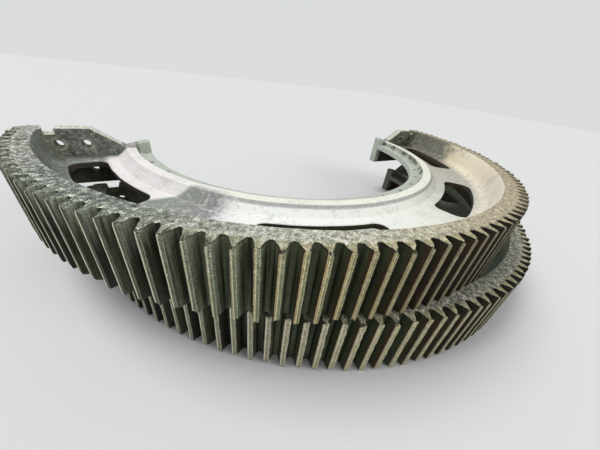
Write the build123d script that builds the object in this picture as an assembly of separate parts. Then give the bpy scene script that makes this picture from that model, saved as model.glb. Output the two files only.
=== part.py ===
from build123d import *
import math
import os

# Split girth gear of a ball mill, taken off the mill and stored as it came apart:
# two equal half rings, one lying flat on the other, a little out of line.
# Millimetres. Z is up, X runs along the split, and the cast bodies lie towards -Y.
# Each half is one steel casting: toothed rim, web with lightening openings,
# hub ring with its bolting flange, and a joint flange at either end of the rim.

# Toothing
module = 28.0
half_teeth = 76
pressure_angle = 20.0
face_width = 420.0
tip_height = 28.0
root_depth = 35.0
root_rounding = 9.0
flank_wear = 3.0

# Rim under the teeth
rim_thickness = 82.0
rim_draft = 44.0
rim_fillet = 80.0

# Web between rim and hub
web_drop = 200.0
web_thickness = 42.0

# Hub ring and the flange that bolts to the mill
bore_radius = 1352.0
flange_width = 102.0
flange_drop = 184.0
ring_width = 70.0
ring_drop = 142.0
ring_slope = 70.0
flange_bolt_pitch = 10.0
flange_bolt_inset = 52.0
flange_bolt_hole = 38.0

# Lightening openings, as angles from the middle of the half
opening_angles = (-68.5, -19.0, 27.5, 69.3)
opening_spans = (27.0, 27.0, 26.0, 26.0)
opening_land = 144.0
opening_ledge = 70.0
opening_corner = 72.0

# Joint flanges where the two halves bolt together
joint_thickness = 95.0
joint_flat = 286.0
joint_dip = 140.0
joint_boss_drop = 106.0
joint_boss_width = 44.0
joint_notch_width = 86.0
joint_notch_depth = 40.0
joint_corner = 75.0
joint_bolt_hole = 56.0
joint_bolt_edge = 85.0
joint_bolt_spacing = 160.0
joint_bolt_drop = 112.0
joint_spot_diameter = 90.0
joint_spot_depth = 4.0

# How the lower half lies under the upper one
lower_shift_x = 292.0
lower_shift_y = -130.0

# Sizes that follow from those above
teeth = 2 * half_teeth
pitch_radius = module * teeth / 2
tip_radius = pitch_radius + tip_height
root_radius = pitch_radius - root_depth
base_radius = pitch_radius * math.cos(math.radians(pressure_angle))
rim_inner = root_radius - rim_thickness
rim_foot = rim_inner - rim_draft
web_top = face_width - web_drop
web_bottom = web_top - web_thickness
recess_radius = bore_radius + flange_width
ring_radius = recess_radius + ring_width
opening_inner = ring_radius + opening_land
opening_outer = rim_foot - opening_ledge
joint_bolt_outer = rim_inner - joint_bolt_edge
joint_bolt_inner = joint_bolt_outer - joint_bolt_spacing
clear = 20.0


def polar(radius, degrees):
    return (radius * math.cos(math.radians(degrees)), radius * math.sin(math.radians(degrees)))


def half_tooth_angle(radius):
    """Half the tooth's angle at a radius: involute flanks, thinned by wear."""
    roll = math.acos(base_radius / radius)
    standard = math.radians(pressure_angle)
    involute = math.tan(standard) - standard - (math.tan(roll) - roll)
    return math.degrees(math.pi / (2 * teeth) + involute - flank_wear / (2 * pitch_radius))


def tooth_outline():
    """The toothed edge from one end of the half to the other, as arcs and lines."""
    pitch_angle = 360.0 / teeth
    foot_radius = root_radius + root_rounding
    edges = []
    last = (-root_radius, 0)
    for tooth in range(half_teeth):
        middle = 180 + (tooth + 0.5) * pitch_angle
        left = [polar(r, middle - half_tooth_angle(r)) for r in (foot_radius, pitch_radius, tip_radius)]
        right = [polar(r, middle + half_tooth_angle(r)) for r in (tip_radius, pitch_radius, foot_radius)]
        if tooth == 0:
            edges.append(Line(last, left[0]))
        else:
            edges.append(ThreePointArc(last, polar(root_radius, middle - pitch_angle / 2), left[0]))
        edges += [ThreePointArc(*left), Line(left[2], right[0]), ThreePointArc(*right)]
        last = right[2]
    edges.append(Line(last, (root_radius, 0)))
    return edges


def toothed_blank():
    """Half ring of full face width, from the bore to the tooth tips."""
    edges = tooth_outline()
    edges.append(Line((root_radius, 0), (bore_radius, 0)))
    edges.append(ThreePointArc((bore_radius, 0), (0, -bore_radius), (-bore_radius, 0)))
    edges.append(Line((-bore_radius, 0), (-root_radius, 0)))
    return extrude(make_face(Wire(edges)), face_width)


def turned(points, radii):
    """Ring with the given section of radius and height."""
    section = make_face(FilletPolyline(*points, radius=radii, close=True))
    return revolve(Plane.XZ * section, Axis.Z)


def top_pocket():
    """Space above the web, the ring and the bolting flange."""
    above = face_width + clear
    points = [
        (rim_inner, above), (rim_inner, face_width), (rim_foot, web_top),
        (ring_radius + ring_slope, web_top), (ring_radius, face_width - ring_drop),
        (recess_radius, face_width - ring_drop), (recess_radius, face_width - flange_drop),
        (bore_radius - clear, face_width - flange_drop), (bore_radius - clear, above),
    ]
    return turned(points, [0, 0, rim_fillet, 0, 0, 0, 0, 0, 0])


def bottom_pocket():
    """Space under the web and the bolting flange, which are flush on this side."""
    points = [
        (rim_inner, -clear), (rim_inner, 0), (rim_foot, web_bottom),
        (bore_radius - clear, web_bottom), (bore_radius - clear, -clear),
    ]
    return turned(points, [0, 0, rim_fillet, 0, 0])


def between_joints():
    """Plan of the pockets: clear of both joint flanges, rounded where these meet the rim."""
    reach = math.sqrt(rim_inner**2 - joint_thickness**2)
    edges = [
        Line((-reach, -joint_thickness), (reach, -joint_thickness)),
        ThreePointArc((reach, -joint_thickness), (0, -rim_inner), (-reach, -joint_thickness)),
    ]
    plan = make_face(Wire(edges))
    plan = fillet(plan.vertices(), joint_corner)
    return Pos(0, 0, -clear) * extrude(plan, face_width + 2 * clear)


def joint_relief(side):
    """Metal taken off above a joint flange, which slopes from the rim down to the hub."""
    flat_end = rim_inner - joint_flat
    boss_end = bore_radius + joint_boss_width
    boss_top = face_width - joint_boss_drop
    points = [
        (flat_end, face_width), (ring_radius, face_width - joint_dip),
        (boss_end, boss_top), (bore_radius - clear, boss_top),
        (bore_radius - clear, face_width + clear), (flat_end, face_width + clear),
    ]
    outline = make_face(Polyline(*[(side * x, z) for x, z in points], close=True))
    return extrude(Plane.XZ * outline, amount=joint_thickness, both=True)


def joint_notch(side):
    """Step down in a joint flange's top where it meets the rim."""
    length = joint_notch_width + clear
    slab = Box(length, 2 * joint_thickness, 2 * joint_notch_depth)
    slab = Pos(side * (rim_inner - joint_notch_width + length / 2), 0, face_width) * slab
    return slab & top_pocket()


def openings():
    """Four lightening openings with rounded corners through the web."""
    holes = []
    for angle, span in zip(opening_angles, opening_spans):
        start, end = 270 + angle - span / 2, 270 + angle + span / 2
        middle = (start + end) / 2
        edges = [
            ThreePointArc(*(polar(opening_outer, a) for a in (start, middle, end))),
            Line(polar(opening_outer, end), polar(opening_inner, end)),
            ThreePointArc(*(polar(opening_inner, a) for a in (end, middle, start))),
            Line(polar(opening_inner, start), polar(opening_outer, start)),
        ]
        outline = make_face(Wire(edges))
        corner = min(opening_corner, 0.45 * (opening_outer - opening_inner))
        outline = fillet(outline.vertices(), corner)
        holes.append(Pos(0, 0, web_bottom - clear) * extrude(outline, web_thickness + 2 * clear))
    return holes


def flange_bolt_holes():
    """Holes along the bolting flange, half a pitch in from either end."""
    height = web_drop + web_thickness - flange_drop + 2 * clear
    count = round(180 / flange_bolt_pitch)
    hole = Pos(0, 0, web_bottom + height / 2 - clear) * Cylinder(flange_bolt_hole / 2, height)
    return [
        Pos(*polar(bore_radius + flange_bolt_inset, 180 + (k + 0.5) * flange_bolt_pitch)) * hole
        for k in range(count)
    ]


def joint_bolt_holes():
    """Two holes above and two below the web through each joint flange, spot-faced on its inner side."""
    hole = Rot(90, 0, 0) * Cylinder(joint_bolt_hole / 2, 3 * joint_thickness)
    spot = Rot(90, 0, 0) * Cylinder(joint_spot_diameter / 2, 2 * joint_spot_depth)
    hole = hole + Pos(0, -joint_thickness, 0) * spot
    return [
        Pos(side * radius, 0, height) * hole
        for side in (-1, 1)
        for radius in (joint_bolt_inner, joint_bolt_outer)
        for height in (face_width - joint_bolt_drop, joint_bolt_drop)
    ]


def half_gear():
    """One half of the gear, split face on Y = 0 and gear axis on Z."""
    pockets = between_joints()
    casting = toothed_blank()
    casting -= top_pocket() & pockets
    casting -= bottom_pocket() & pockets
    for side in (-1, 1):
        casting -= joint_relief(side)
        casting -= joint_notch(side)
    casting -= openings()
    casting -= flange_bolt_holes()
    casting -= joint_bolt_holes()
    return casting.solid()


half = half_gear()
lower = Pos(lower_shift_x, lower_shift_y, 0) * half
upper = Pos(0, 0, face_width) * half

# The origin is the middle of the ground under the stack.
box = Compound([lower, upper]).bounding_box()
centre = Pos(-(box.min.X + box.max.X) / 2, -(box.min.Y + box.max.Y) / 2, -box.min.Z)
print("upper gear axis at", centre.position)

os.makedirs("parts", exist_ok=True)
export_step(centre * lower, "parts/lower_half.step")
export_step(centre * upper, "parts/upper_half.step")
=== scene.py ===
import math

import bmesh
import bpy
import numpy as np
from mathutils import Matrix, Vector, noise


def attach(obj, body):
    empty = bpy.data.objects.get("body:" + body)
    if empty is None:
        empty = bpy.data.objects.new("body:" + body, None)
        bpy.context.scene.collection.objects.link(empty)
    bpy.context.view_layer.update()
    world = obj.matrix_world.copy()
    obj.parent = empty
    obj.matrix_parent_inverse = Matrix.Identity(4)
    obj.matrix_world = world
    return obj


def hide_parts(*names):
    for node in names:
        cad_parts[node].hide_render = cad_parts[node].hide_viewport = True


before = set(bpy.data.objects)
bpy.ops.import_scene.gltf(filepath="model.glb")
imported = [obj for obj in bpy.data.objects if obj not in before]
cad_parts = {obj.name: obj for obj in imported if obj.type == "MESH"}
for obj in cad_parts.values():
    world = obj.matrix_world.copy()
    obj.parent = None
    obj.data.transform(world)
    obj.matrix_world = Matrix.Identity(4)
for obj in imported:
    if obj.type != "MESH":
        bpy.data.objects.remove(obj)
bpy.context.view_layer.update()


# Web and pockets of one half, in millimetres and degrees round its own gear axis.
# The web is a cast steel plate ring with four cored openings, deep below the rim on both faces.
# Cores rounded its corners, and a large radius carries it up into the drafted wall of the rim.
face_width = 420.0
web_top, web_bottom = 220.0, 178.0
web_foot, web_edge = 1594.0, 1902.8
pocket_radius, pocket_corner, web_corner = 2011.0, 75.0, 60.0
wall_draft = ((2011.0, 420.0), (2002.2, 380.0), (1991.4, 331.0))
wall_fillet = 80.0
joint_face, joint_fillet = 95.0, 14.0
slope_end, corner_start, web_corner_start = 1725.0, 1928.5, 1838.0
opening_inner, opening_middle, opening_outer, opening_corner = 1668.0, 1777.0, 1897.0, 72.0
edge_rounding = 4.0

# One quarter's skin is a grid of columns round the gear and rows outwards. An opening is given by
# its sides, in degrees from the split, and by the columns where it starts and ends.
columns, web_rows, corner_rows, first_regular, corner_steps = 152, 18, 5, 14, 7
half_corner = corner_steps // 2
column_angle = 90.0 / columns
opening_rows = (5, 17)
left_openings = ((8.0, 35.0, 14, 59), (57.5, 84.5, 97, 143))
right_openings = ((7.7, 33.7, 14, 57), (49.5, 75.5, 84, 127))


def place(radius, angle, height):
    """Points from radius, angle from the left end of the split, and height."""
    turn = np.radians(angle)
    radius, turn, height = np.broadcast_arrays(radius, turn, height)
    return np.stack([-radius * np.cos(turn), -radius * np.sin(turn), height], -1).astype(float)


class Skin:
    """Collects the surface of one quarter of the casting as points and faces."""

    def __init__(self):
        self.points, self.faces, self.count = [], [], 0

    def sheet(self, grid, keep=None):
        """Adds a grid of points with a face in each mesh, or in those that are kept."""
        rows, across = grid.shape[:2]
        first = self.count
        self.points.append(grid.reshape(-1, 3))
        self.count += rows * across
        for i in range(rows - 1):
            for j in range(across - 1):
                if keep is None or keep[i, j]:
                    a = first + i * across + j
                    self.faces.append((a, a + 1, a + across + 1, a + across))

    def plate(self, loop):
        """Adds one flat face inside a loop of points."""
        loop = np.asarray(loop, float)
        self.points.append(loop)
        self.faces.append(tuple(range(self.count, self.count + len(loop))))
        self.count += len(loop)


def rounded_corner(centre_radius, centre_angle, reach, start):
    """Radius and angle of the points along a quarter of a circle at an opening's corner."""
    points = []
    for turn in np.radians(np.linspace(start, start + 90, corner_steps)):
        radius = centre_radius + reach * math.sin(turn)
        points.append((radius, centre_angle + math.degrees(reach * math.cos(turn) / radius)))
    return points


def opening_outline(left, right, first, last, grow):
    """The opening's edge, one polar point for each place where the plate's grid meets it."""
    low, high = opening_inner - grow, opening_outer + grow
    grow_angle = math.degrees(grow / opening_middle)
    left, right = left - grow_angle, right + grow_angle
    reach = opening_corner + grow
    row_a, row_b = opening_rows
    at_inner = math.degrees(reach / (low + reach))
    at_outer = math.degrees(reach / (high - reach))
    inner_left = rounded_corner(low + reach, left + at_inner, reach, 180)
    inner_right = rounded_corner(low + reach, right - at_inner, reach, 270)
    outer_right = rounded_corner(high - reach, right - at_outer, reach, 0)
    outer_left = rounded_corner(high - reach, left + at_outer, reach, 90)
    where = {}
    for k in range(corner_steps):
        on = k - half_corner
        where[(row_a - on, first) if on < 0 else (row_a, first + on)] = inner_left[k]
        where[(row_a, last + on) if on <= 0 else (row_a + on, last)] = inner_right[k]
        where[(row_b + on, last) if on <= 0 else (row_b, last - on)] = outer_right[k]
        where[(row_b, first - on) if on <= 0 else (row_b - on, first)] = outer_left[k]
    for row in opening_rows:
        begin, end = first + half_corner, last - half_corner
        start, stop = where[(row, begin)], where[(row, end)]
        for column in range(begin + 1, end):
            t = (column - begin) / (end - begin)
            where[(row, column)] = (start[0], start[1] + t * (stop[1] - start[1]))
    for column in (first, last):
        begin, end = row_a + half_corner, row_b - half_corner
        start, stop = where[(begin, column)], where[(end, column)]
        for row in range(begin + 1, end):
            t = (row - begin) / (end - begin)
            where[(row, column)] = tuple(start[n] + t * (stop[n] - start[n]) for n in (0, 1))
    return where


def pocket_border(depth, outer, reach, radii):
    """Plan of one pocket's border: up the joint flange, round the corner, along the rim."""
    flange = [(-math.sqrt(r * r - depth * depth), -depth) for r in radii]
    centre_depth, centre_radius = depth + reach, outer - reach
    centre = np.array([-math.sqrt(centre_radius**2 - centre_depth**2), -centre_depth])
    last = math.degrees(math.atan2(-centre[1], -centre[0])) + 180.0
    turns = np.radians(np.linspace(90.0, last, corner_steps))
    arc = centre + reach * np.stack([np.cos(turns), np.sin(turns)], -1)
    start = math.degrees(math.asin(centre_depth / centre_radius))
    regular = np.arange(first_regular, columns + 1) * column_angle
    blend = np.linspace(start, regular[0], first_regular - corner_rows - half_corner + 1)[1:-1]
    rim = place(outer, np.concatenate([blend, regular]), 0.0)[:, :2]
    return np.concatenate([flange, arc[1:], rim]), turns


flange_radii = np.concatenate([
    np.linspace(web_foot, slope_end, 8),
    np.linspace(slope_end, corner_start, 9)[1:],
])
border_top, bends = pocket_border(joint_face, pocket_radius, pocket_corner, flange_radii)
web_flange_radii = np.linspace(web_foot, web_corner_start, 16)
border_web, _ = pocket_border(joint_face + joint_fillet, web_edge, web_corner, web_flange_radii)
stations, corner_station = len(border_top), web_rows

# Shares of the way in and down from the pocket's border to the web, level by level: along the
# rim over the draft and the large fillet, along the joint flange straight with a small fillet.
fillet = np.radians(np.linspace(-12.4, -90.0, 7))
rim_across = np.concatenate([[r for r, z in wall_draft], web_edge + wall_fillet * np.cos(fillet)])
rim_height = web_top + wall_fillet + wall_fillet * np.sin(fillet)
rim_height = np.concatenate([[z for r, z in wall_draft], rim_height])
rim_across = (pocket_radius - rim_across) / (pocket_radius - web_edge)
rim_height = (rim_height - web_top) / (face_width - web_top)
flange_across = np.array([0, 0, 0, 0, 0, 0, 0.1, 0.35, 0.68, 1.0])
flange_height = np.array([1, 0.8, 0.6, 0.42, 0.26])
flange_fillet = np.array([14.0, 8.0, 3.5, 1.0, 0.0])
along_border = np.array([0, 0, 0.25, 0.45, 0.65, 0.8, 0.88, 0.94, 0.98, 1.0])
levels = len(along_border)


def flange_top(radius):
    """Height of a joint flange's top, from the hub out to the rim."""
    return np.interp(radius, [1396.0, 1524.0, slope_end], [314.0, 280.0, face_width])


def pocket_wall(rim_z, web_z, top_z):
    """Wall points: border stations by levels, from the border down or up to the web."""
    grid = np.zeros((levels, stations, 3))
    rise = rim_z - web_z
    bend_start, bend_end = corner_station - half_corner, corner_station + half_corner
    for s in range(stations):
        mix = np.clip((s - bend_start) / (bend_end - bend_start), 0.0, 1.0)
        if s <= bend_start:
            normal = np.array([0.0, -1.0])
        elif s >= bend_end:
            normal = -border_top[s] / np.linalg.norm(border_top[s])
        else:
            turn = bends[s - bend_start]
            normal = -np.array([math.cos(turn), math.sin(turn)])
        shift = border_web[s] - border_top[s]
        across = shift.dot(normal) * normal
        drop = np.concatenate([flange_height * abs(top_z[s] - web_z), flange_fillet])
        drop *= math.copysign(1, rise)
        for k in range(levels):
            share = (1 - mix) * flange_across[k] + mix * rim_across[k]
            grid[k, s, :2] = border_top[s] + share * across + along_border[k] * (shift - across)
            grid[k, s, 2] = web_z + (1 - mix) * drop[k] + mix * rim_height[k] * rise
    return grid


def web_plan(openings):
    """Polar grid of the web between the hub, the joint flange and the rim, around its openings."""
    radius = np.zeros((web_rows + 1, columns + 1))
    angle = np.zeros_like(radius)
    rows = np.concatenate([
        np.linspace(web_foot, opening_inner, 6),
        np.linspace(opening_inner, opening_outer, 13)[1:],
        [web_edge],
    ])
    radius[:] = rows[:, None]
    angle[:] = (np.arange(columns + 1) * column_angle)[None, :]
    border = np.hypot(*border_web.T), np.degrees(np.arctan2(-border_web[:, 1], -border_web[:, 0]))
    c, n = corner_rows, first_regular
    for i in range(web_rows + 1):
        t = np.arange(n - c + 1) / (n - c)
        radius[i, c:n + 1] = border[0][i] + t * (rows[i] - border[0][i])
        angle[i, c:n + 1] = border[1][i] + t * (n * column_angle - border[1][i])
    radius[web_rows, c:], angle[web_rows, c:] = (part[corner_station:] for part in border)
    fixed = np.zeros(radius.shape, bool)
    fixed[0], fixed[-1], fixed[:, c], fixed[:, -1] = True, True, True, True
    there = np.ones((web_rows, columns), bool)
    for opening in openings:
        for (i, j), (r, u) in opening_outline(*opening, edge_rounding).items():
            radius[i, j], angle[i, j], fixed[i, j] = r, u, True
        there[opening_rows[0]:opening_rows[1], opening[2]:opening[3]] = False
    there[:, :c] = False
    free = ~fixed
    free[:, :c] = False
    for turn in range(160):
        for field in (radius, angle):
            mean = field.copy()
            mean[1:-1, 1:-1] = (field[2:, 1:-1] + field[:-2, 1:-1] + field[1:-1, 2:] + field[1:-1, :-2]) / 4
            field[free] = mean[free]
    return radius, angle, there


def add_web(skin, openings):
    radius, angle, there = web_plan(openings)
    for height in (web_top, web_bottom):
        skin.sheet(place(radius, angle, height), there)
    low, high = web_bottom + edge_rounding, web_top - edge_rounding
    for opening in openings:
        wide, exact = opening_outline(*opening, edge_rounding), opening_outline(*opening, 0.0)
        (a, b), (first, last) = opening_rows, opening[2:]
        loop = [(a, j) for j in range(first, last)] + [(i, last) for i in range(a, b)]
        loop += [(b, j) for j in range(last, first, -1)] + [(i, first) for i in range(b, a - 1, -1)]
        steps = [(exact, height) for height in (high, 205.0, 193.0, low)]
        steps = [(wide, web_top), *steps, (wide, web_bottom)]
        skin.sheet(np.array([[place(*edge[key], height) for key in loop] for edge, height in steps]))


def add_pocket_walls(skin):
    """The walls above and below the web. The notch in the joint flange opens the upper one."""
    upper = pocket_wall(face_width, web_top, flange_top(np.hypot(*border_top.T)))
    lower = pocket_wall(0.0, web_bottom, np.zeros(stations))
    keep = np.ones((levels - 1, stations - 1), bool)
    keep[0, corner_station - half_corner:corner_station] = False
    skin.sheet(upper, keep)
    skin.sheet(lower)
    return upper, lower


def tone(red, green, blue):
    """Linear colour from the values that a screen shows, 0 to 255."""
    return tuple(((v / 255 + 0.055) / 1.055) ** 2.4 for v in (red, green, blue)) + (1.0,)


class Wire:
    """A node's output. Arithmetic on it adds Math nodes, and | takes the larger value."""

    def __init__(self, finish, socket):
        self.finish, self.socket = finish, socket

    def __add__(self, other):
        return self.finish.math("ADD", self, other)

    def __sub__(self, other):
        return self.finish.math("SUBTRACT", self, other)

    def __rsub__(self, other):
        return self.finish.math("SUBTRACT", other, self)

    def __mul__(self, other):
        return self.finish.math("MULTIPLY", self, other)

    __radd__, __rmul__ = __add__, __mul__

    def __neg__(self):
        return self * -1.0

    def __abs__(self):
        return self.finish.math("ABSOLUTE", self)

    def __or__(self, other):
        return self.finish.math("MAXIMUM", self, other)


class Finish:
    """The nodes of one material or of the backdrop."""

    def __init__(self, owner):
        owner.use_nodes = True
        self.owner, self.tree = owner, owner.node_tree

    def join(self, socket, value):
        if isinstance(value, Wire):
            self.tree.links.new(value.socket, socket)
        else:
            socket.default_value = value

    def node(self, kind, settings, sockets, output=0):
        """Adds a node with its settings, then the values or links of its sockets."""
        made = self.tree.nodes.new("ShaderNode" + kind)
        for name, value in settings.items():
            if name == "stops":
                ramp = made.color_ramp.elements
                for k, (position, colour) in enumerate(value):
                    stop = ramp[k] if k < 2 else ramp.new(position)
                    stop.position, stop.color = position, colour
            else:
                setattr(made, name, value)
        for name, value in sockets.items():
            self.join(made.inputs[name], value)
        if isinstance(output, tuple):
            return [Wire(self, made.outputs[name]) for name in output]
        return Wire(self, made.outputs[output])

    def own(self, name, sockets):
        """Sets the sockets of a node that the owner came with."""
        for socket, value in sockets.items():
            self.join(self.tree.nodes[name].inputs[socket], value)

    def math(self, operation, *values):
        return self.node("Math", {"operation": operation}, dict(enumerate(values)))

    def grains(self, spot, stretch, detail, rough=0.55):
        """Noise from 0 to 1 with so many grains to the metre along X, Y and Z."""
        spot = self.node("VectorMath", {"operation": "MULTIPLY"}, {0: spot, 1: stretch})
        sockets = {"Vector": spot, "Scale": 1.0, "Detail": detail, "Roughness": rough}
        return self.node("TexNoise", {}, sockets)


def between(value, low, high):
    """Smooth step from 0 at low to 1 at high."""
    sockets = {"Value": value, "From Min": low, "From Max": high}
    return value.finish.node("MapRange", {"interpolation_type": "SMOOTHSTEP"}, sockets)


def blend(first, second, share, way="MIX"):
    settings = {"data_type": "RGBA", "blend_type": way}
    return share.finish.node("Mix", settings, {0: share, 6: first, 7: second}, 2)


class CastingFinish(Finish):
    """A casting's material. It knows where on the casting a point lies: its radius in metres,
    its turn from 0 at the left end of the split to 1 at the right end, its height, and the way
    that the surface faces."""

    def __init__(self, name, tones, shift):
        super().__init__(bpy.data.materials.new(name))
        self.tones = tones
        spot = self.node("TexCoord", {}, {}, "Object")
        self.x, self.y, self.z = self.node("SeparateXYZ", {}, {0: spot}, ("X", "Y", "Z"))
        flat = self.node("VectorMath", {"operation": "MULTIPLY"}, {0: spot, 1: (1, 1, 0)})
        self.radius = self.node("VectorMath", {"operation": "LENGTH"}, {0: flat}, "Value")
        self.turn = self.math("ARCTAN2", 0.0005 - self.y, -self.x) * (1 / math.pi)
        facing = self.node("NewGeometry", {}, {}, "Normal")
        self.ahead, up = self.node("SeparateXYZ", {}, {0: facing}, ("Y", "Z"))
        self.upward, self.downward = between(up, 0.55, 0.85), between(up, -0.4, -0.8)
        self.spot = self.node("VectorMath", {"operation": "ADD"}, {0: spot, 1: shift})
        self.coarse = self.grains(self.spot, (9, 9, 9), 4)
        self.middling = self.grains(self.spot, (38, 38, 38), 4, 0.6)
        self.fine = self.grains(self.spot, (150, 150, 150), 3, 0.65)
        self.gritty = self.grains(self.spot, (420, 420, 420), 2, 0.7)
        self.streaks = self.grains(self.spot, (70, 70, 2.2), 3, 0.6)
        self.thin_streaks = self.grains(self.spot, (260, 260, 6), 3, 0.6)
        self.scratches = self.grains(self.spot, (900, 900, 16), 2, 0.6)
        self.wander = self.turn + (self.coarse - 0.5) * 0.08

    def colour(self, name, turn=None):
        """A tone from the half's table: the same all over, or by the turn round the gear. Borders
        are broken up by the coarse grain unless a turn is given."""
        value = self.tones[name]
        if isinstance(value, tuple):
            return tone(*value)
        stops = [(angle / 180.0, tone(*rgb)) for angle, rgb in value.items()]
        return self.node("ValToRGB", {"stops": stops}, {0: turn or self.wander})

    def lay(self, below, name, share, turn=None):
        return blend(below, self.colour(name, turn), share)


def pocket_paint(cast):
    """Web and wall: pale paint gone chalky, with painted shade and a painted cast shadow on it, streaked in
    the bowl.
    """
    radius, turn, coarse, middling = cast.radius, cast.turn, cast.coarse, cast.middling
    wall = radius + (coarse - 0.5) * 0.10 + between(turn, 0.42, 0.26) * 0.06
    paint = cast.lay(cast.colour("web"), "wall", between(wall, 1.89, 1.97))

    # Painted shadow: a cast shadow across the web between the left opening and the middle of the web,
    # ending at a slanting line, and painted shade on the web beside the joint flange.
    slant = turn - (41.0 - (radius - 1.488) * 27.6) * (1 / 180)
    shaded = between(slant + (cast.fine - 0.5) * 0.012, -0.004, 0.006)
    shaded = shaded * between(turn + (middling - 0.5) * 0.03, 0.292, 0.262) * between(radius, 1.46, 1.52)
    beside_flange = between(radius + (coarse - 0.5) * 0.05, 1.64, 1.70) * between(turn, 0.095, 0.055)
    shaded = (shaded | beside_flange) * (1 - between(middling, 0.56, 0.70) * 0.45) * 0.9
    paint = cast.lay(paint, "shade", shaded)

    streaked = between(cast.grains(cast.spot, (20, 20, 9), 5, 0.62), 0.48, 0.64)
    high_right = between(turn, 0.55, 0.65) * between(radius, 1.95, 1.99)
    streaked = streaked * between(radius, 1.78, 1.90) * (0.5 - high_right * 0.4)
    return cast.lay(paint, "bowl", streaked)


# Hub ring of one half.
# Part of the same casting: a raised, turned ring with a lower inner flange that is
# drilled for the bolts of the mill's end plate. The section lists radius and height.
hub_section = [
    (1594, 178), (1560, 178), (1524, 178), (1490, 178), (1454, 178), (1420, 178), (1386, 178),
    (1352, 178), (1352, 197), (1352, 217), (1352, 236), (1377, 236), (1403, 236), (1428, 236),
    (1454, 236), (1454, 250), (1454, 264), (1454, 278), (1477, 278), (1501, 278), (1524, 278),
    (1541, 264), (1594, 220),
]


def add_hub(skin):
    grid = np.zeros((len(hub_section), columns - corner_rows + 1, 3))
    regular = np.arange(first_regular, columns + 1) * column_angle
    for i, (radius, height) in enumerate(hub_section):
        depth = joint_face + (joint_fillet if radius == web_foot else 0.0)
        start = np.degrees(np.arcsin(depth / radius))
        blend = np.linspace(start, regular[0], first_regular - corner_rows + 1)[:-1]
        grid[i] = place(radius, np.concatenate([blend, regular]), height)
    skin.sheet(grid)
    return grid


def band(value, a, b, c, d):
    """Rises smoothly from 0 at a to 1 at b, and falls again from c to d."""
    return between(value, a, b) * between(value, d, c)


def hub_paint(cast, paint):
    """Recess, raised ring and its foot, with grime and painted shade in the corner against the ring, and
    grime blots in the recess.
    """
    radius, centre = cast.radius, between(cast.turn, 0.24, 0.31)
    paint = cast.lay(paint, "recess", between(radius, 1.457, 1.452))
    paint = cast.lay(paint, "ring", band(radius, 1.452, 1.457, 1.522, 1.527) * (0.25 + 0.6 * centre))
    paint = cast.lay(paint, "foot", band(radius, 1.522, 1.526, 1.540, 1.552) * (0.1 + 0.65 * centre))
    # Grime and painted shade in the corner at the foot of the ring's inner step, and grime blots in the
    # recess.
    grime_and_step_shade = band(radius, 1.425, 1.450, 1.4545, 1.456) * between(cast.coarse, 0.35, 0.6)
    blots = between(cast.middling + (cast.fine - 0.5) * 0.5, 0.54, 0.66)
    grime_and_step_shade = grime_and_step_shade | between(radius, 1.456, 1.452) * blots * 0.6
    return cast.lay(paint, "stain_and_shade", grime_and_step_shade * 0.85)


# Joint flange of one half.
# A thick plate cast on at each end of the half ring, with its top sloping from the rim to the hub
# and a notch beside the rim. The halves were bolted together through it; the bolts are gone.
notch_floor = 380.0
hub_side = np.array([1352.0, 1374.0, 1396.0, 1428.0, 1460.0, 1492.0, 1524.0])
split_radii = np.concatenate([hub_side, flange_radii[:-1], [1925.0, 1954.0, 1983.0, pocket_radius]])
bore_heights = (0.0, 178.0, 197.0, 217.0, 236.0, 262.0, 288.0, 314.0)


def flange_lines(border):
    """Lines across the joint flange's top or foot, from the split face to its inner face."""
    inner = np.stack([-np.sqrt(hub_side**2 - joint_face**2), np.full(len(hub_side), -joint_face)], -1)
    inner = np.concatenate([inner, border])
    outer = np.stack([-split_radii, np.zeros(len(split_radii))], -1)
    t = np.linspace(0, 1, corner_rows + 1)[None, :, None]
    plan = outer[:, None] * (1 - t) + inner[:, None] * t
    plan[0, :, 0] = -np.sqrt(hub_side[0]**2 - plan[0, :, 1]**2)
    return plan


def lift(plan, height):
    """Gives the points of a plan a height."""
    height = np.broadcast_to(np.asarray(height, float), plan.shape[:-1])
    return np.concatenate([plan, height[..., None]], -1)


def corners(grid):
    return [tuple(point) for point in grid]


def add_joint(skin, upper, lower, hub):
    """Adds the flange and returns the parts of the split face's outline."""
    top = flange_lines(border_top[:corner_station + 1])
    notch = flange_lines(upper[1, :corner_station + 1, :2])
    heights = flange_top(split_radii)
    n = len(hub_side)
    step = n + corner_station - half_corner
    crest = lift(top[:step + 1], heights[:step + 1, None])
    floor = lift(notch[step:], notch_floor)
    rim_line = lift(top[-1], face_width)
    foot = lift(top, 0.0)
    bore = np.array([lift(top[0], z) for z in bore_heights])
    skin.sheet(crest)
    skin.sheet(floor)
    skin.sheet(np.array([lift(top[step], face_width), floor[0]]))
    skin.sheet(np.array([rim_line, floor[-1]]))
    skin.sheet(foot)
    skin.sheet(bore)
    edge = hub[:, 0]
    above = corners(crest[:n + 1, -1]) + corners(upper[1:, 0]) + corners(edge[::-1][1:13])
    skin.plate(above + corners(bore[5:7, -1]))
    skin.plate(corners(foot[:n + 1, -1]) + corners(lower[1:, 0]) + corners(edge[1:8]))
    back = corners(crest[:, 0]) + corners(floor[:, 0]) + [tuple(rim_line[0])]
    return corners(foot[:, 0]), back, corners(bore[1:-1, 0]), top[-1]


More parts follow.
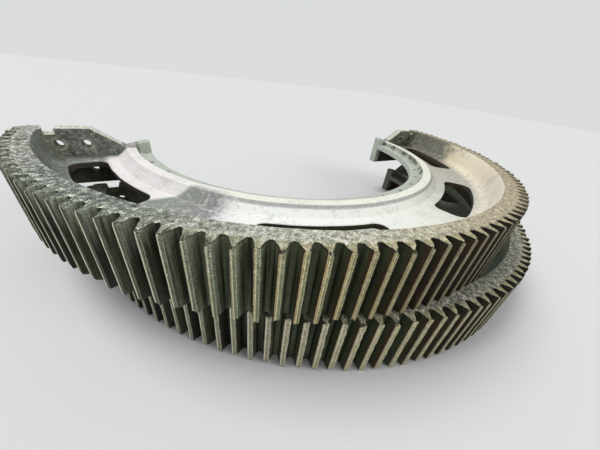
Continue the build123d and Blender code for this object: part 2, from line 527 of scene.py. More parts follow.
def joint_paint(cast, paint):
    """Flange: grey and grimy, olive towards the rim, pale round its holes, and painted pale as if lit on
    its upward-facing top edge.
    """
    radius, y = cast.radius, cast.y
    cast.on_joint = between(y, -0.110, -0.096) * band(radius, 1.53, 1.56, 2.0, 2.02)
    paint = cast.lay(paint, "joint", cast.on_joint)
    paint = cast.lay(paint, "olive", between(y, -0.17, -0.10) * band(radius, 1.86, 1.96, 2.0, 2.02) * 0.6)
    across, over = abs(abs(cast.x) - 1.846) - 0.080, abs(cast.z - 0.21) - 0.098
    from_hole = cast.math("SQRT", across * across + over * over)
    ringed = band(from_hole, 0.029, 0.034, 0.047, 0.056) * (1 - cast.upward)
    # Painted light: the upward-facing top edge of the flange is painted pale, as if lit from above.
    lit_top_edge = between(cast.z, 0.27, 0.30) * cast.upward * between(cast.fine, 0.34, 0.52)
    return cast.lay(paint, "cream", cast.on_joint * (lit_top_edge * 0.85 | ringed * 0.22))


# Toothed rim of one half.
# Seventy-six cut teeth of module 28 on a solid steel rim, with round-bottomed spaces. Long running
# hollowed their flanks and burred their tips; grease, rust and dust have stayed on them.
half_teeth = 76
tooth_angle = 180.0 / half_teeth
pitch_radius, tip_radius, root_radius, root_fillet = 2128.0, 2156.0, 2093.0, 9.0
pressure_angle, thinned = math.radians(20.0), 3.0
base_radius = pitch_radius * math.cos(pressure_angle)
rim_line_radius, crust_start, end_rounding = 2021.0, 2026.0, 2.5
tooth_heights = [
    420, 417.5, 413, 407, 399, 388, 372, 348, 316, 280, 240, 200, 160, 120, 80, 48, 26, 12, 4, 0,
]
end_shares = {
    face_width: [0, 0.11, 0.22, 0.33, 0.44, 0.55, 0.67, 0.79, 0.9, 1],
    0.0: [0, 0.3, 0.65, 0.9, 1],
}


def half_tooth(radius):
    """Half the tooth's angle at a radius, on flanks thinned by wear."""
    roll = math.acos(base_radius / radius)
    curve = math.tan(pressure_angle) - pressure_angle - (math.tan(roll) - roll)
    return math.degrees(math.pi / (4 * half_teeth) + curve - thinned / (2 * pitch_radius))


def tooth_profile():
    """Radius and angle along one pitch, from the middle of a space over a tooth to the next."""
    foot, land = root_radius + root_fillet, tip_radius - 0.4
    half, tip = tooth_angle / 2, half_tooth(land)
    line = []
    for t in (0, 0.4, 0.75):
        line.append((root_radius + root_fillet * t**2.2, -half + t * (half - half_tooth(foot))))
    line += [(radius, -half_tooth(radius)) for radius in (foot, 2110.0, 2121.0, 2133.0, 2145.0, 2153.0)]
    line += [(land, -tip + 0.008), (2155.5, -0.66 * tip), (2155.3, -0.33 * tip), (2155.2, 0.0)]
    return line + [(radius, -off) for radius, off in line[-2:0:-1]]


def add_teeth(skin, flange_row):
    """Adds the teeth and the rim, and returns the rim's part of the split face's outline."""
    line, profile = [], tooth_profile()
    for tooth in range(half_teeth // 2):
        line += [(radius, (tooth + 0.5) * tooth_angle + off) for radius, off in profile]
    radii, angles = np.array(line + [(root_radius, 90.0)]).T
    outline = place(radii, angles, 0.0)[:, :2]
    before, after = np.roll(outline, 1, 0), np.roll(outline, -1, 0)
    before[0], after[-1] = outline[1] * (1, -1), outline[-2] * (-1, 1)
    run = after - before
    inward = np.stack([run[:, 1], -run[:, 0]], -1)
    inward /= np.linalg.norm(inward, axis=1)[:, None]
    inward *= -np.sign((inward * outline).sum(1))[:, None]
    narrow = outline + end_rounding * inward
    narrow[0, 1], narrow[-1, 0] = 0.0, 0.0
    inner = place(crust_start, np.linspace(0.0, 90.0, len(outline)), 0.0)[:, :2]
    rim_line = place(rim_line_radius, np.arange(columns + 1) * column_angle, 0.0)[:, :2]
    inner_edge = np.concatenate([flange_row, border_top[corner_station + 1:]])
    cuts = np.round(np.linspace(0, len(outline) - 1, columns + 1)).astype(int)

    side = [lift(narrow if height in end_shares else outline, height) for height in tooth_heights]
    skin.sheet(np.array(side))
    split = []
    for height in end_shares:
        rows = [lift(inner * (1 - t) + narrow * t, height) for t in end_shares[height]]
        border = lift(rim_line, height)
        skin.sheet(np.array(rows))
        for j in range(columns):
            skin.plate([border[j], *rows[0][cuts[j]:cuts[j + 1] + 1], border[j + 1]])
        skin.sheet(np.array([lift(inner_edge, height), border]))
        split.append([border[0]] + [row[0] for row in rows[:-1]])
    top, bottom = split
    return corners([*lift(inner_edge[:1], face_width), *top, *[row[0] for row in side], *bottom[::-1]])


def count_teeth(cast):
    """Finds how far a point is off the middle of its tooth, and draws two chances for the tooth."""
    run = cast.turn * half_teeth
    tooth = cast.math("FLOOR", run)
    cast.off = run - tooth - 0.5
    cast.chance, cast.fate = [
        cast.node("TexWhiteNoise", {"noise_dimensions": "1D"}, {"W": tooth + start}, "Value")
        for start in (0.5, 200.5)
    ]


def rim_crust(cast):
    """The rim's top and the teeth's ends, rough with pale and dark grains, with painted shade in the slit,
    and their place.
    """
    radius, turn, middling, fine, off = cast.radius, cast.turn, cast.middling, cast.fine, cast.off
    calm = between(turn, 0.38, 0.48) * cast.tones["calm"]
    crumbs = between(middling + (fine - 0.5) * 0.9, 0.50, 0.72) * (0.8 - 0.5 * calm)
    rim = cast.lay(cast.colour("rim"), "crumbs", crumbs, turn)
    pits = between(middling * 0.7 + fine * 0.3 + (cast.gritty - 0.5) * 0.8, 0.46, 0.32)
    rim = cast.lay(rim, "pits", pits * (0.80 - 0.55 * calm))
    ends = between(radius, 2.086, 2.108) * between(turn, 0.22, 0.30)
    ends = ends * (between(middling + (fine - 0.5) * 0.8, 0.76, 0.52) | calm * 0.9)
    rim = cast.lay(rim, "end", ends * 0.9, turn)
    burred = between(abs(off) + (radius - 2.156) * 4.5, 0.066, 0.098)
    burred = burred | between(radius, 2.084, 2.091) * between(abs(off), 0.33, 0.38)
    burred = burred * between(fine + (middling - 0.5) * 0.6, 0.36, 0.56) * between(radius, 2.07, 2.09)
    rim = cast.lay(rim, "burr", burred * 0.85, turn)
    # Painted shade in the slit cut into the rim's top.
    gashed = band(turn, 0.0515, 0.0535, 0.0635, 0.0655)
    gashed = gashed * between(cast.z, 0.416, 0.410) * between(radius, 2.022, 2.026)
    rim = cast.lay(rim, "root", gashed * 0.8)
    return rim, between(radius, 2.004, 2.013) * (cast.upward | gashed)


def flank_grease(cast):
    """Grease, thickest at the roots and darkened there with painted shade too, with dust caught at the top,
    rust by the tips and a painted shadow just under the top edge. Returns where the dust lies as well."""
    radius, turn, off, z, streaks = cast.radius, cast.turn, cast.off, cast.z, cast.streaks
    unlike = cast.chance - 0.5
    mixed, dotted = streaks + unlike * 0.4, cast.fine + (streaks - 0.5) * 0.4
    flank = cast.lay(cast.colour("flank"), "streak", between(streaks + unlike * 0.5, 0.36, 0.66))
    flank = cast.lay(flank, "oil", between(cast.thin_streaks, 0.50, 0.64) * 0.75, turn)
    dusty = between(z + (streaks - 0.5) * 0.45 + (cast.fate - 0.5) * 0.14, 0.22, 0.46)
    dust = dusty * between(cast.thin_streaks, 0.74, 0.44) * between(radius, 2.094, 2.104)
    flank = cast.lay(flank, "dust", dust)

    for name, lean, span, rise, grains, cover, share in (
        ("green", (0.0, -0.05), (0.24, 0.33, 0.38, 0.46), (2.098, 2.112), mixed, (0.34, 0.60), 0.8),
        ("lichen", (0.0, 0.05), (0.26, 0.33, 0.38, 0.50), (2.116, 2.140), dotted, (0.44, 0.62), 0.85),
        ("rust", (0.02, -0.04), (0.27, 0.33, 0.44, 0.56), (2.124, 2.142), streaks, (0.34, 0.54), 0.85),
    ):
        patch = between(off, *lean) * band(turn, *span) * between(radius, *rise) * between(grains, *cover)
        flank = cast.lay(flank, name, patch * share)

    # Painted shade: the roots are darkened towards the bottom of the spaces, on top of the grease, and a
    # painted shadow lies in a band just under the flanks' top edge.
    past_left = between(turn, 0.20, 0.32)
    root = between(radius, 2.122, 2.099) * (0.85 - 0.35 * dusty) * (0.25 + 0.75 * past_left)
    flank = cast.lay(flank, "root", root)
    silt = between(radius, 2.1015, 2.0970) * band(turn, 0.24, 0.31, 0.36, 0.46)
    silt = silt * between(mixed, 0.30, 0.56)
    flank = cast.lay(flank, "streak", silt * 0.85, turn)
    under_edge = between(z + (cast.fine - 0.5) * 0.02, 0.404, 0.412) * between(z, 0.4195, 0.414)
    flank = cast.lay(flank, "root", under_edge * 0.7 * past_left)
    silted = between(turn, 0.545, 0.61) * cast.tones["silted"]
    silted = silted * (0.55 + 0.35 * between(streaks, 0.35, 0.6))
    return cast.lay(flank, "silt", silted), dusty


def tip_wear(cast):
    """Tips carry a painted highlight along a line that shifts from one edge to the other round the gear,
    browner on the one side of it and greener on the other, and are worn and burred in places. Returns
    the mask of the painted highlight and the burrs as well."""
    turn, off, fine = cast.turn, cast.off, cast.fine
    # Painted highlight: a bright line on the land that moves from one edge to the other with the turn, as a
    # glint on a rounded tip would; the burrs at the land's edges are real.
    reach = {"From Min": 47 / 180, "From Max": 88 / 180, "To Min": -0.100, "To Max": 0.090}
    from_glint = off - cast.node("MapRange", {}, {"Value": turn, **reach}) + (cast.streaks - 0.5) * 0.03
    blotches = cast.grains(cast.spot, (90, 90, 26), 3, 0.6) - 0.5
    land = cast.lay(cast.colour("tip"), "tan", between(from_glint, -0.006, -0.034) * 0.85, turn)
    mossy = between(from_glint + (cast.chance - 0.5) * 0.03, 0.012, 0.050)
    land = cast.lay(land, "moss", mossy * 0.85, turn)
    worn = between(fine + blotches * 0.5 + (cast.z - 0.3) * 0.35, 0.52, 0.68) * between(turn, 0.22, 0.32)
    land = cast.lay(land, "burr", worn * 0.55, turn)
    land = cast.lay(land, "pits", between(fine + blotches * 0.3, 0.42, 0.30) * 0.7)
    burr = between(abs(from_glint) - between(turn, 0.32, 0.24) * 0.014, 0.032, 0.014)
    burr = burr | between(abs(off), 0.100, 0.114) * between(turn, 0.20, 0.32) * 0.35
    burr = burr * between(cast.thin_streaks + blotches * 0.3, 0.26, 0.46)
    return cast.lay(land, "burr", burr * 0.85, turn), burr


# Whole casting of one half.
# Web, hub, joint flanges and rim were poured in one piece. It is put together here from two
# quarters that meet in the middle, and its sharp edges are eased, all but those of the teeth.
weld, easing, room_to_ease, sharp_from = 0.05, 3.0, 7.0, math.radians(50)


def quarter_skin(openings):
    skin = Skin()
    add_web(skin, openings)
    upper, lower = add_pocket_walls(skin)
    hub = add_hub(skin)
    ahead, back, bore, flange_row = add_joint(skin, upper, lower, hub)
    rim_end = add_teeth(skin, flange_row)
    skin.plate(back[:-1] + rim_end + ahead[::-1] + bore)
    return skin


def casting_mesh():
    mesh = bmesh.new()
    for side, openings in ((1, left_openings), (-1, right_openings)):
        skin = quarter_skin(openings)
        verts = [mesh.verts.new(point) for point in np.concatenate(skin.points) * (side, 1, 1)]
        for face in skin.faces:
            mesh.faces.new([verts[k] for k in face[::side]])
    bmesh.ops.delete(mesh, geom=[vert for vert in mesh.verts if not vert.link_faces], context="VERTS")
    bmesh.ops.remove_doubles(mesh, verts=mesh.verts, dist=weld)
    bmesh.ops.recalc_face_normals(mesh, faces=mesh.faces)
    return mesh


def soften(mesh):
    """Rounds the sharp edges inside the teeth, where the mesh has room for it."""
    roomy = {}
    for vert in mesh.verts:
        shortest = min(edge.calc_length() for edge in vert.link_edges)
        roomy[vert] = shortest > room_to_ease and math.hypot(vert.co.x, vert.co.y) < crust_start + 10.0
    sharp = []
    for edge in mesh.edges:
        if all(roomy[vert] for vert in edge.verts) and edge.calc_face_angle(0.0) > sharp_from:
            sharp.append(edge)
    bmesh.ops.bevel(
        mesh, geom=sharp, offset=easing, offset_type="OFFSET", segments=2, profile=0.5,
        affect="EDGES", clamp_overlap=False,
    )
    bmesh.ops.remove_doubles(mesh, verts=mesh.verts, dist=weld)


# Cast skin, crust and wear of one half.
# The cast surface is wavy wherever no tool passed, and a broken crust of slag and stone dust sits
# on the rim's top. Running hollowed the flanks and burred the tips, and knocks chipped the ends.
bore_radius, middle_height = hub_side[0], face_width / 2
chip_chance, chip_reach, chip_depth = 0.3, (14, 34), (0.25, 0.5)
chip_place, arc_per_degree = 0.27, 37.6
crumbled = 26.0


def grain(point, size, seed):
    return noise.noise(Vector((point[0] / size + seed, point[1] / size, point[2] / size - seed)))


def ripple(run, tooth, seed):
    """Noise along a tooth, unlike on every tooth."""
    return noise.noise(Vector((run, tooth, seed)))


def ease(value, low, high):
    t = min(max((value - low) / (high - low), 0.0), 1.0)
    return t * t * (3.0 - 2.0 * t)


def cast_skin(point, radius, seed):
    """Slow waves of the cast surface, dying out towards the faces that were machined."""
    raw = ease(-point.y, 2.0, 40.0) * ease(radius, bore_radius + 2.0, bore_radius + 44.0)
    raw *= ease(crust_start - radius, 0.0, 20.0)
    slow = Vector([grain(point, 110.0, seed + 3 * n) for n in range(3)])
    quick = Vector([grain(point, 38.0, seed + 20 + 3 * n) for n in range(3)])
    move = (2.0 * slow + 0.9 * quick) * raw
    move.z *= 1.0 - ease(abs(point.z - middle_height), middle_height - 15.0, middle_height)
    return move


def crust(point, angle, seed):
    """How deep the broken crust on the rim's top lies below its highest grains."""
    lumps = 6.0 * abs(grain(point, 30.0, seed + 41)) + 5.0 * abs(grain(point, 14.0, seed + 43))
    lumps += 3.0 * abs(grain(point, 7.0, seed + 47))
    return lumps * (0.35 + 0.75 * ease(75.0 - angle, 0.0, 25.0)) * ease(-point.y, 0.0, 12.0)


def wear_of_tooth(radius, off, z, tooth, seed, spread):
    """How far running has moved a point of a tooth: along the turn and outwards, in millimetres."""
    side = -1 if off < 0 else 1
    run = z / 45.0
    on_tip, by_edge = radius > tip_radius - 1.5, abs(off) > 0.2
    if on_tip and by_edge and 2.0 < z < face_width - 2.0:
        lip = 1.6 + 1.7 * ripple(run, tooth * 3.7 + side, seed)
        lip += 1.0 * ripple(run * 4, tooth * 5.1 + side, seed)
        if side > 0:
            lip += spread * (0.85 + 0.5 * ripple(run * 2, tooth * 2.7, seed + 3))
        return side * max(lip, 0.2), -0.3
    if 2100.0 < radius < 2150.0 and by_edge:
        return -side * (1.0 + 0.8 * ripple(run / 2, tooth * 1.3 + side, seed + 5)), 0.0
    if on_tip:
        dent = ripple(run * 1.5, tooth * 2.3 + off * 2.0, seed + 9)
        dent += 0.7 * ripple(run * 5.0, tooth * 2.9 + off * 6.0, seed + 13)
        return 0.0, -(0.9 + 0.8 * dent)
    return 0.0, 0.0


def draw_chips(seed):
    """The chipped corners of the teeth, by tooth and end."""
    rng = np.random.default_rng(seed)
    chips = {}
    for tooth in range(half_teeth):
        for end in (face_width, 0.0):
            for side in (-1, 1):
                if rng.random() < chip_chance:
                    chip = (side, rng.uniform(*chip_reach), rng.uniform(*chip_depth))
                    chips.setdefault((tooth, end), []).append(chip)
    return chips


def weather(mesh, seed, burr):
    """Waves of the cast skin, hollowed flanks, burred tips and crumbled tooth ends."""
    chips = draw_chips(seed)
    moves = []
    for vert in mesh.verts:
        x, y, z = vert.co
        radius = math.hypot(x, y)
        angle = math.degrees(math.atan2(-y, -x))
        if radius < 2062.0:
            move = cast_skin(vert.co, radius, seed)
            if z > face_width - 4.0 and radius > pocket_radius + 2.0:
                move.z -= crust(vert.co, angle, seed)
            moves.append(move)
            continue
        tooth = min(max(int(angle / tooth_angle), 0), half_teeth - 1)
        off = angle - (tooth + 0.5) * tooth_angle
        radial = Vector((x, y, 0.0)) / radius
        tangent = Vector((-radial.y, radial.x, 0.0))
        spread = burr * ease(angle, 25.0, 60.0)
        sideways, outwards = wear_of_tooth(radius, off, z, tooth, seed, spread)
        end = face_width if z > middle_height else 0.0
        near, down = abs(end - z), (-1.0 if end else 1.0)
        on_tooth = ease(radius, 2092.0, 2112.0)
        fall = 0.0
        if near < crumbled:
            lump = crust(vert.co, angle, seed) if end else 3.0 * abs(grain(vert.co, 17.0, seed + 51))
            lump *= 1.0 + 0.8 * on_tooth * (0.4 + grain((tooth * 9.0, seed, 0.0), 4.0, 7.0))
            fall = lump * ease(crumbled - near, 0.0, crumbled)
            rim = 1.2 + 2.6 * abs(grain(vert.co, 12.0, seed + 57))
            rim *= ease(14.0 - near, 0.0, 14.0) * on_tooth
            outwards -= rim * ease(radius, 2120.0, 2150.0)
            sideways -= math.copysign(min(rim, abs(off) * 12.0), off)
        for side, reach, depth in chips.get((tooth, end), ()):
            across = (off - side * chip_place) * arc_per_degree
            away = math.sqrt(near**2 + (tip_radius - radius)**2 + across**2)
            bite = reach * depth * max(0.0, 1.0 - away / reach)
            fall += bite
            outwards -= 0.7 * bite
            sideways -= side * 0.4 * bite
        moves.append(Vector((0.0, 0.0, down * fall)) + sideways * tangent + outwards * radial)
    for vert, move in zip(mesh.verts, moves):
        vert.co += move
        vert.co.z = min(max(vert.co.z, 0.0), face_width)
        vert.co.y = min(vert.co.y, 0.0)


# Bolt holes of one half, and the slit in the upper one.
# Eight holes are drilled through the joint flanges and spot-faced at the back, and a row of small
# ones through the hub's inner flange. The slit was burnt and chiselled into the rim's top.
tool_sides = 40
joint_hole = [(34, -3), (28, 3), (28, 88), (31, 91), (45, 91), (45, 94), (48, 98)]
joint_hole_radii, joint_hole_heights = (1766.0, 1926.0), (112.0, 308.0)
flange_hole = [(22, 174), (19, 181), (19, 233), (22, 239)]
bolt_circle, flange_holes = 1404.0, 18
slit_angle = 10.5
slit_run = [
    (2022, 6, 3), (2034, 11, 13), (2050, 15, 21), (2070, 12, 19), (2086, 14, 21), (2102, 10, 14),
    (2113, 5, 4),
]
slit_section = [(-0.9, 0.7), (-0.3, 1.0), (0.4, 1.0), (1.0, 0.6)]


def close_tool(mesh, rings):
    """Faces between rings of points, and over the first and the last of them."""
    for low, high in zip(rings, rings[1:]):
        for k in range(len(low)):
            mesh.faces.new((low[k], low[k - 1], high[k - 1], high[k]))
    mesh.faces.new(rings[0])
    mesh.faces.new(rings[-1][::-1])


def turned_tool(mesh, section, where):
    """Adds a closed turned cutter with the given radii and heights along its own Z."""
    rings = []
    for radius, height in section:
        turns = np.linspace(0, 2 * math.pi, tool_sides, endpoint=False)
        ring = [Vector((radius * math.cos(t), radius * math.sin(t), height)) for t in turns]
        rings.append([mesh.verts.new(where @ spot) for spot in ring])
    close_tool(mesh, rings)


def slit_tool(mesh):
    """Adds a closed cutter for the slit. Its run lists radius, half width and depth."""
    rings = []
    for radius, wide, deep in slit_run:
        section = [(across, face_width - deep * share) for across, share in slit_section]
        section = [(-1.1, face_width + 4.0), *section, (1.2, face_width + 4.0)]
        skew = 0.002 * (radius - 2070)
        turns = [slit_angle + math.degrees(across * wide / radius) + skew for across, height in section]
        rings.append([mesh.verts.new(place(radius, turn, spot[1])) for turn, spot in zip(turns, section)])
    close_tool(mesh, rings)


def drill_tool(with_slit):
    tool = bmesh.new()
    if with_slit:
        slit_tool(tool)
    lying = Matrix.Rotation(math.pi / 2, 4, "X")
    for side in (-1, 1):
        for radius in joint_hole_radii:
            for height in joint_hole_heights:
                turned_tool(tool, joint_hole, Matrix.Translation((side * radius, 0.0, height)) @ lying)
    for k in range(flange_holes):
        spot = place(bolt_circle, (k + 0.5) * 180.0 / flange_holes, 0.0)
        turned_tool(tool, flange_hole, Matrix.Translation(Vector(spot)))
    bmesh.ops.recalc_face_normals(tool, faces=tool.faces)
    return tool


def put(name, shape):
    """Puts an object into the scene, with a new mesh if its shape still has to become one."""
    if isinstance(shape, bmesh.types.BMesh):
        data = bpy.data.meshes.new(name)
        shape.to_mesh(data)
        shape = data
    made = bpy.data.objects.new(name, shape)
    bpy.context.scene.collection.objects.link(made)
    return made


def cut(target, tool_mesh):
    tool = put("drill", tool_mesh)
    carve = target.modifiers.new("drill", "BOOLEAN")
    carve.object, carve.solver = tool, "EXACT"
    graph = bpy.context.evaluated_depsgraph_get()
    result = bpy.data.meshes.new_from_object(target.evaluated_get(graph))
    target.modifiers.clear()
    target.data = result
    bpy.data.objects.remove(tool)


# Finish of one half.
# Under everything lies old pale paint, smeared and specked, painted darker as shade where it faces sideways
# below the web's top or faces down.
# The crust lies over it on the rim's top, and grease or worn steel on the teeth.
def casting_finish(name, tones, shift):
    cast = CastingFinish(name, tones, shift)
    radius, middling, fine = cast.radius, cast.middling, cast.fine
    count_teeth(cast)
    paint = joint_paint(cast, hub_paint(cast, pocket_paint(cast)))
    paint = cast.lay(paint, "smear", between(middling + (cast.coarse - 0.5) * 0.8, 0.52, 0.70) * 0.40)
    paint = cast.lay(paint, "speck", between(fine, 0.61, 0.70) * 0.45)
    # Painted shade: darker on surfaces facing sideways below the web's top, such as the walls of the
    # openings, and on everything facing down.
    side_shade = (1 - (cast.upward | cast.downward)) * between(cast.z, 0.219, 0.213)
    paint = cast.lay(paint, "inside", side_shade * between(radius, 1.40, 1.42))
    paint = cast.lay(paint, "under", cast.downward)
    rim, crusted = rim_crust(cast)
    body = blend(paint, rim, crusted)

    flank, dusty = flank_grease(cast)
    land, glint_and_burr = tip_wear(cast)
    on_tip = between(radius, 2.1515, 2.1535)
    on_teeth = between(radius, 2.088, 2.092) * (1 - cast.upward)
    body = blend(body, blend(flank, land, on_tip), on_teeth)
    greasy = on_teeth * (1 - on_tip)

    split = between(cast.ahead, 0.7, 0.9) * between(cast.y, -0.004, -0.002)
    body = cast.lay(body, "joint", split * 0.9)
    mottle = between(fine * 0.6 + middling * 0.4, 0.34, 0.66)
    body = blend(body, mottle, 0.30 + crusted * 0.25 + (cast.on_joint | split) * 0.4, "OVERLAY")

    height = cast.gritty * 0.25 + fine * (0.5 + crusted * 1.6) + middling * (0.8 + crusted * 1.5)
    height = height + cast.scratches * greasy * 0.5
    cast.own("Principled BSDF", {
        "Base Color": body,
        "Roughness": 0.86 - greasy * (0.32 - dusty * 0.26) - on_tip * on_teeth * 0.25 + (fine - 0.5) * 0.2,
        "Metallic": glint_and_burr * on_tip * on_teeth * 0.4,
        "Normal": cast.node("Bump", {}, {"Height": height, "Distance": 0.003, "Strength": 0.6}),
        "Specular IOR Level": 0.35,
    })
    return cast.owner


def make_half(which, where, seed, burr, tones):
    mesh = casting_mesh()
    soften(mesh)
    weather(mesh, seed, burr)
    half = put(which + "_gear_half", mesh)
    cut(half, drill_tool(which == "upper"))
    half.data.transform(Matrix.Scale(0.001, 4))
    half.location = where
    half.data.materials.append(casting_finish(which + "_casting", tones, (seed * 0.37, 0.0, seed * 0.11)))
    half.data.shade_smooth()
    half.data.set_sharp_from_angle(angle=math.radians(35))
    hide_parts(which + "_half")
    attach(half, "root")


# Upper half.
# It lies flat on the lower one, out of line with it. Its paint is pale, darkened towards the ends of the
# half with painted shade; its teeth are dark with grease at both ends of the half, and their tips are
# worn towards the middle, where a painted highlight runs along them.
upper_tones = {
    # Tones as a screen shows them, by the angle from the left end of the split.
    # Web, wall and bowl darken towards the right end: painted shade. Wall and bowl stay pale up to about
    # 153 degrees: a painted sunlit patch, with painted shade beyond its edge. The dark left end is partly
    # dust and partly painted shade.
    "web": {
        0: (124, 122, 118), 3.5: (150, 147, 144), 7: (240, 234, 232), 30: (238, 232, 230),
        62: (246, 248, 243), 95: (236, 236, 228), 118: (198, 197, 187), 145: (184, 180, 166),
        153: (176, 168, 152), 159: (124, 120, 106), 180: (108, 104, 92),
    },
    "wall": {
        0: (100, 106, 92), 28: (116, 122, 112), 46: (150, 152, 144), 58: (206, 206, 196),
        85: (240, 238, 222), 104: (246, 236, 220), 117: (236, 226, 208), 130: (238, 226, 206),
        146: (248, 238, 212), 153: (232, 220, 190), 158: (128, 126, 112), 180: (104, 104, 90),
    },
    "bowl": {
        0: (90, 96, 84), 50: (140, 142, 132), 80: (214, 212, 196), 105: (206, 194, 174),
        130: (178, 172, 156), 150: (206, 198, 174), 160: (92, 90, 76), 180: (80, 78, 66),
    },
    "shade": {
        0: (116, 120, 112), 14: (122, 128, 118), 30: (122, 134, 122), 40: (130, 138, 128),
        45: (132, 132, 130), 54: (140, 136, 138),
    },
    "rim": {
        0: (160, 160, 150), 16: (148, 148, 138), 26: (124, 130, 120), 42: (116, 124, 114),
        54: (158, 160, 146), 62: (178, 178, 162), 74: (186, 184, 162), 86: (180, 170, 146),
        110: (172, 160, 134), 180: (158, 150, 126),
    },
    "crumbs": {
        0: (240, 234, 228), 16: (222, 218, 210), 42: (190, 196, 182), 54: (208, 210, 196),
        65: (226, 224, 206), 85: (212, 202, 176), 180: (204, 192, 166),
    },
    "flank": {
        0: (14, 18, 6), 36: (18, 22, 8), 48: (38, 40, 22), 58: (52, 58, 38), 68: (46, 50, 30),
        80: (26, 24, 8), 180: (20, 18, 6),
    },
    "streak": {
        0: (34, 40, 20), 36: (42, 46, 26), 47: (76, 78, 58), 55: (104, 112, 88), 66: (92, 98, 72),
        78: (48, 46, 24), 90: (30, 28, 14), 180: (30, 26, 14),
    },
    "oil": {
        0: (8, 12, 2), 48: (22, 22, 10), 58: (36, 38, 22), 70: (22, 22, 8), 82: (14, 12, 2),
        180: (16, 12, 4),
    },
    "dust": {
        0: (140, 148, 124), 40: (152, 156, 138), 50: (118, 124, 106), 60: (112, 118, 92), 70: (78, 80, 54),
        82: (34, 32, 14), 180: (30, 28, 14),
    },
    "tip": {
        0: (34, 40, 22), 38: (42, 46, 28), 48: (88, 90, 68), 56: (134, 136, 108), 66: (166, 160, 114),
        76: (132, 124, 94), 90: (98, 92, 68), 180: (92, 84, 64),
    },
    "moss": {
        0: (24, 30, 12), 45: (58, 64, 44), 56: (104, 112, 88), 66: (112, 118, 84), 76: (122, 116, 78),
        90: (94, 92, 54), 180: (82, 76, 48),
    },
    "tan": {
        0: (40, 44, 26), 50: (120, 116, 84), 60: (160, 134, 96), 70: (164, 142, 94), 82: (96, 86, 56),
        95: (74, 68, 46), 180: (70, 64, 46),
    },
    "end": {
        0: (110, 112, 96), 55: (150, 152, 126), 65: (168, 160, 124), 80: (170, 162, 126),
        95: (160, 152, 120), 180: (148, 140, 112),
    },
    # The burr tone serves for real burrs and bare steel, and for the painted highlight on the tips.
    "burr": {
        0: (240, 244, 212), 44: (236, 240, 208), 54: (216, 218, 190), 66: (222, 214, 172),
        78: (190, 180, 146), 90: (150, 142, 114), 180: (140, 132, 106),
    },
    "joint": {0: (112, 116, 108), 90: (110, 110, 100), 180: (96, 94, 82)},
    "calm": 1.0, "silted": 1.0, "silt": (116, 106, 86), "recess": (190, 196, 184), "ring": (236, 236, 220),
    # The inside and under tones are painted shade; the stain tone is grime with painted shade in the corner
    # at the ring's step.
    "foot": (146, 143, 143), "stain_and_shade": (58, 64, 50), "inside": (62, 58, 46), "under": (80, 74, 62),
    "pits": (58, 58, 46), "rust": (62, 36, 12), "green": (50, 66, 42), "lichen": (128, 136, 116),
    # The root tone is grease with painted shade, and painted shade in the slit and under the top edge; the
    # cream tone is the pale of the spot faces and painted light on the flange's top edge.
    "root": (18, 18, 6), "smear": (174, 172, 166), "speck": (140, 136, 124), "cream": (232, 232, 208),
    "olive": (98, 104, 80),
}
make_half("upper", (-0.146, 1.14286, 0.42), 11, 2.0, upper_tones)


# Lower half.
# The same casting from the same mould, lying on the ground. It is duller, darker and dirtier, and the
# tops of its flanks are painted near black as shade under the upper half. Its tips are burred wider on
# the far side; what isn't listed is as on the upper half.
lower_tones = dict(upper_tones, **{
    "web": {0: (100, 100, 90), 90: (112, 108, 98), 180: (96, 94, 82)},
    "wall": {
        0: (66, 70, 54), 60: (84, 86, 72), 90: (138, 154, 134), 120: (144, 158, 138), 180: (120, 130, 110),
    },
    "shade": {0: (84, 86, 74), 180: (84, 86, 74)},
    "rim": {0: (122, 120, 108), 60: (134, 128, 114), 80: (140, 138, 124), 180: (140, 138, 122)},
    "tip": {
        0: (130, 124, 114), 45: (148, 142, 128), 60: (168, 164, 136), 72: (168, 160, 134),
        85: (138, 131, 104), 180: (116, 108, 82),
    },
    "moss": {
        0: (96, 92, 80), 58: (138, 134, 108), 70: (144, 138, 104), 85: (112, 110, 78), 180: (84, 78, 56),
    },
    "tan": {
        0: (92, 86, 78), 50: (122, 116, 104), 62: (146, 132, 104), 73: (118, 104, 78), 86: (82, 74, 52),
        180: (84, 76, 56),
    },
    # Near-black dust tone: the tops of this half's flanks are painted dark as shade under the upper half.
    "dust": {0: (40, 40, 28), 60: (36, 36, 26), 180: (38, 38, 24)},
    "crumbs": {0: (190, 186, 170), 60: (208, 206, 186), 75: (228, 226, 206), 180: (216, 214, 192)},
    "bowl": {0: (50, 54, 40), 60: (50, 54, 40), 90: (84, 94, 80), 180: (80, 88, 72)},
    "burr": {
        0: (226, 226, 200), 50: (222, 220, 196), 66: (226, 218, 180), 80: (206, 198, 160),
        95: (186, 180, 146), 180: (170, 162, 132),
    },
    "end": {
        0: (110, 108, 94), 55: (140, 138, 118), 70: (164, 160, 126), 85: (166, 162, 124),
        180: (150, 146, 116),
    },
    "joint": {0: (98, 96, 86), 180: (88, 84, 72)},
    "calm": 0.2, "silted": 0.0, "pits": (42, 44, 34), "recess": (112, 112, 100), "ring": (140, 136, 122),
    "foot": (100, 94, 92), "smear": (84, 82, 70), "speck": (130, 126, 110), "cream": (150, 148, 130),
    "olive": (66, 70, 52),
})
make_half("lower", (0.146, 1.01286, 0.0), 29, 9.0, lower_tones)


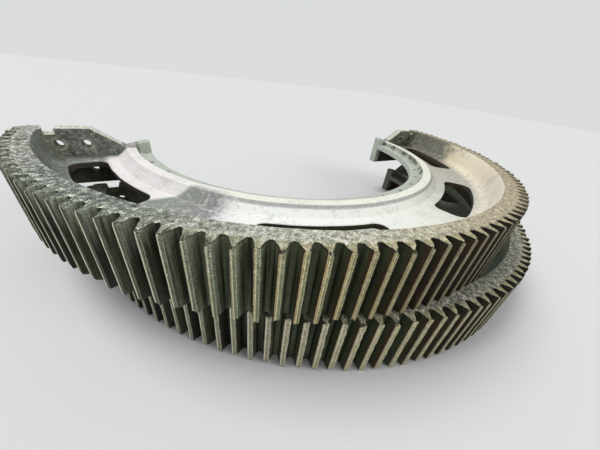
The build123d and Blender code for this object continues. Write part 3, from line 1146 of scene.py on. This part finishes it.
# Camera, floor and light.
# The camera stands where the photograph was taken, leaning to one side. The floor and the backdrop
# are plain and pale, and the light is a soft sun with a weaker one against it.
camera = put("camera", bpy.data.cameras.new("camera"))
camera.data.sensor_width, camera.data.lens = 36.0, 14.527
eye, pitch, yaw, roll = (-1.45748, -1.36273, 1.37058), 0.55792, -0.57571, 0.13396
ahead = Vector((-math.sin(yaw) * math.cos(pitch), math.cos(yaw) * math.cos(pitch), -math.sin(pitch)))
level = Vector((math.cos(yaw), math.sin(yaw), 0.0))
upright = level.cross(ahead)
across = math.cos(roll) * level + math.sin(roll) * upright
over = -math.sin(roll) * level + math.cos(roll) * upright
camera.matrix_world = Matrix.Translation(eye) @ Matrix((across, over, -ahead)).transposed().to_4x4()
bpy.context.scene.camera = camera

floor_mesh = bmesh.new()
bmesh.ops.create_grid(floor_mesh, x_segments=1, y_segments=1, size=30.0)
floor = put("floor", floor_mesh)
pale = Finish(bpy.data.materials.new("floor"))
pale.own("Principled BSDF", {"Base Color": (0.72, 0.72, 0.71, 1), "Roughness": 0.9})
floor.data.materials.append(pale.owner)

suns = (
    ("key_light", 1.7, 28, (-0.35, 0.30, 0.88)),
    ("fill_light", 1.0, 40, (0.50, -0.75, 0.42)),
)
for name, energy, spread, towards in suns:
    light = put(name, bpy.data.lights.new(name, "SUN"))
    light.data.energy, light.data.angle = energy, math.radians(spread)
    light.rotation_euler = Vector(towards).to_track_quat("Z", "Y").to_euler()

world = bpy.data.worlds.new("studio")
bpy.context.scene.world = world
backdrop = Finish(world)
backdrop.own("Background", {"Color": (0.75, 0.77, 0.8, 1), "Strength": 0.6})
sky = Wire(backdrop, backdrop.tree.nodes["Background"].outputs[0])
seen = backdrop.node("Background", {}, {"Color": (0.71, 0.72, 0.73, 1)})
by_camera = backdrop.node("LightPath", {}, {}, "Is Camera Ray")
backdrop.own("World Output", {"Surface": backdrop.node("MixShader", {}, {0: by_camera, 1: sky, 2: seen})})
bpy.context.scene.view_settings.view_transform = "Standard"
